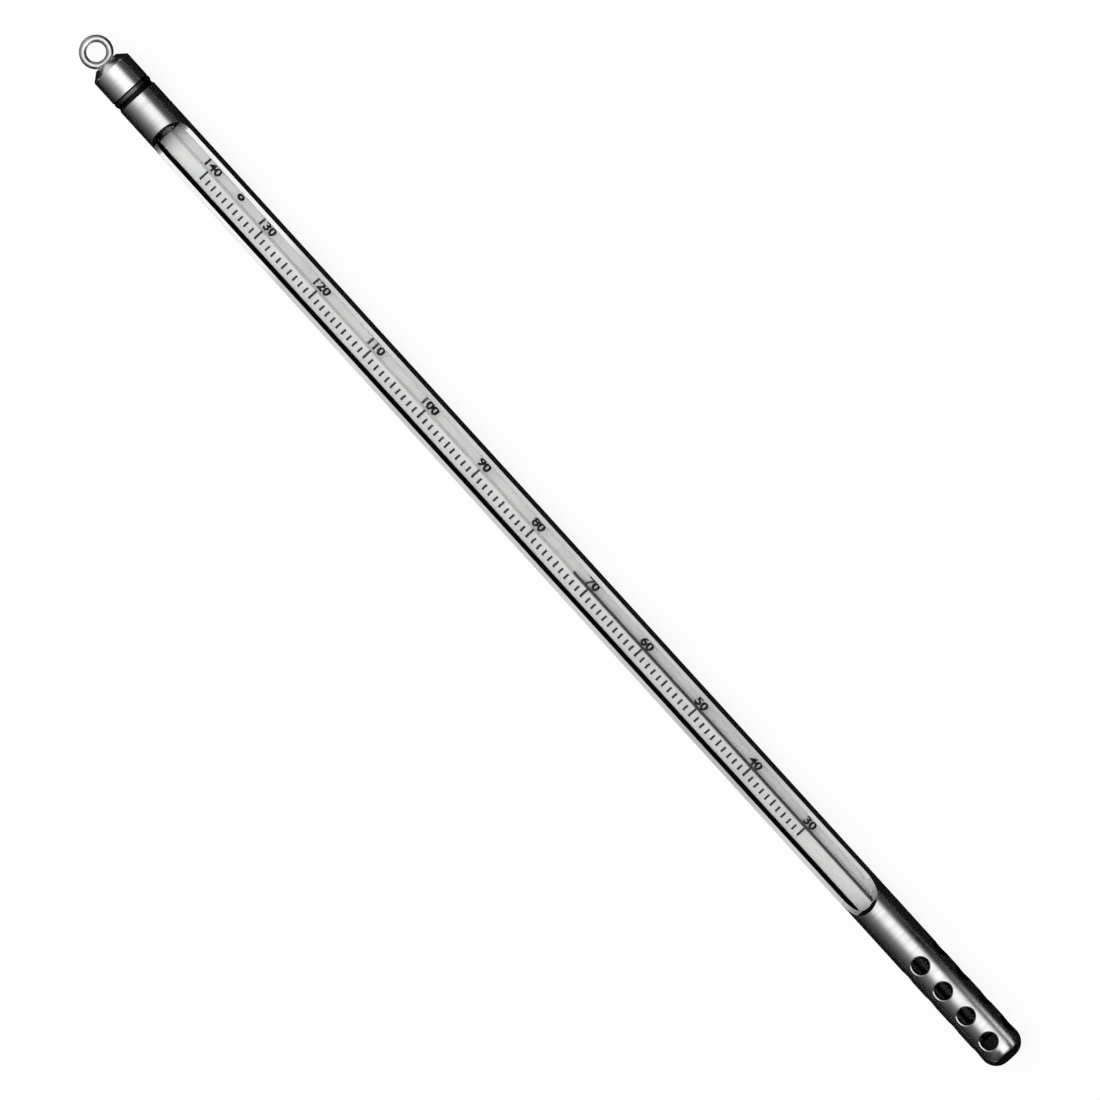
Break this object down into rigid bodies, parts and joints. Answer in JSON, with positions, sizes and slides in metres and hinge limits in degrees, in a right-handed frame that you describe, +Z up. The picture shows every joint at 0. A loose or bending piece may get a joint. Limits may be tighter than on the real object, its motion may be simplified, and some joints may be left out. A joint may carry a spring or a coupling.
{
  "type": "darkroom thermometer",
  "caption": "Mercury-in-glass thermometer in a stainless tube with a long milled window, side holes round the bulb, a crimped cap and a swivel hanging eye.",
  "frame": {"origin": "under the middle of the tube's length, on the surface the thermometer lies on", "axes": "+X along the tube towards the bulb end, +Z up out of the window, +Y to the side of the scale that carries the numerals"},
  "size_m": [0.34, 0.011, 0.0111],
  "materials": {
    "stainless": "polished",
    "glass": "gloss",
    "white_enamel": "gloss",
    "mercury": "polished",
    "black_rubber": "matte",
    "scale_ink": "satin"
  },
  "bodies": {
    "case": {"case_tube": "stainless", "end_cap": "stainless", "top_cushion": "black_rubber", "upper_bushing": "black_rubber", "glass_stem": "glass", "enamel_ribbon": "white_enamel", "glass_bulb": "glass", "mercury_reservoir": "mercury", "mercury_thread": "mercury", "lower_bushing": "black_rubber", "tip_cushion": "black_rubber"},
    "eye": {"hanging_eye": "stainless", "eye_washer": "stainless"},
    "column": {"mercury_meniscus": "mercury"}
  },
  "joints": [
    {"name": "eye_swivel", "type": "hinge", "parent": "case", "child": "eye", "pos_m": [-0.1657, 0, 0.00555], "axis": [1, 0, 0], "continuous": true},
    {"name": "mercury_rise", "type": "slide", "parent": "case", "child": "column", "axis": [-1, 0, 0], "range_m": [-0.0851, 0.1337], "deforming": ["mercury_thread"]}
  ]
}
